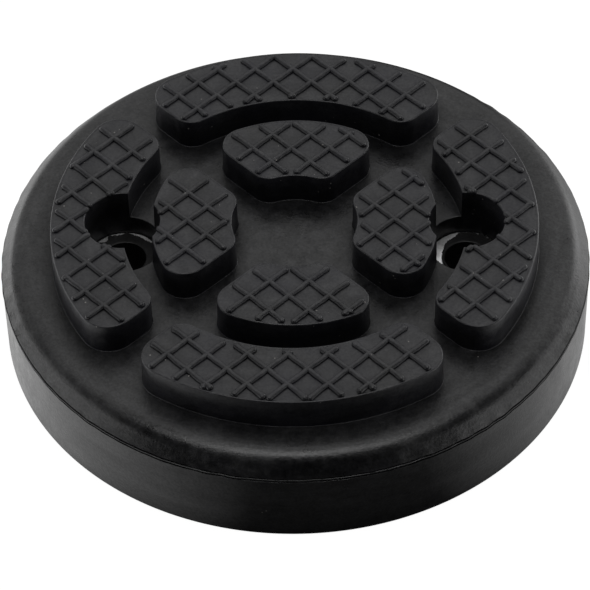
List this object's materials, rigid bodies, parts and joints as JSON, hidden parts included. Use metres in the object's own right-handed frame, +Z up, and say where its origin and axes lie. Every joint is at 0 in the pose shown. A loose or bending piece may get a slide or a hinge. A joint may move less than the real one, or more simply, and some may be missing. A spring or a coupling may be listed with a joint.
{
  "type": "rubber lift pad",
  "caption": "Round moulded rubber pad with raised, ribbed tread blocks and a steel insert, bolted on through recessed holes.",
  "frame": {"origin": "centre of the flat underside", "axes": "+Z up through the tread, +X through the centres of the bolt holes"},
  "size_m": [0.15, 0.15, 0.0349],
  "materials": {
    "rubber": "matt moulded black rubber",
    "steel": "bare bright steel, torn clear of its rubber skin"
  },
  "bodies": {
    "root": {"rubber_pad": "rubber", "steel_plate": "steel"}
  },
  "joints": []
}
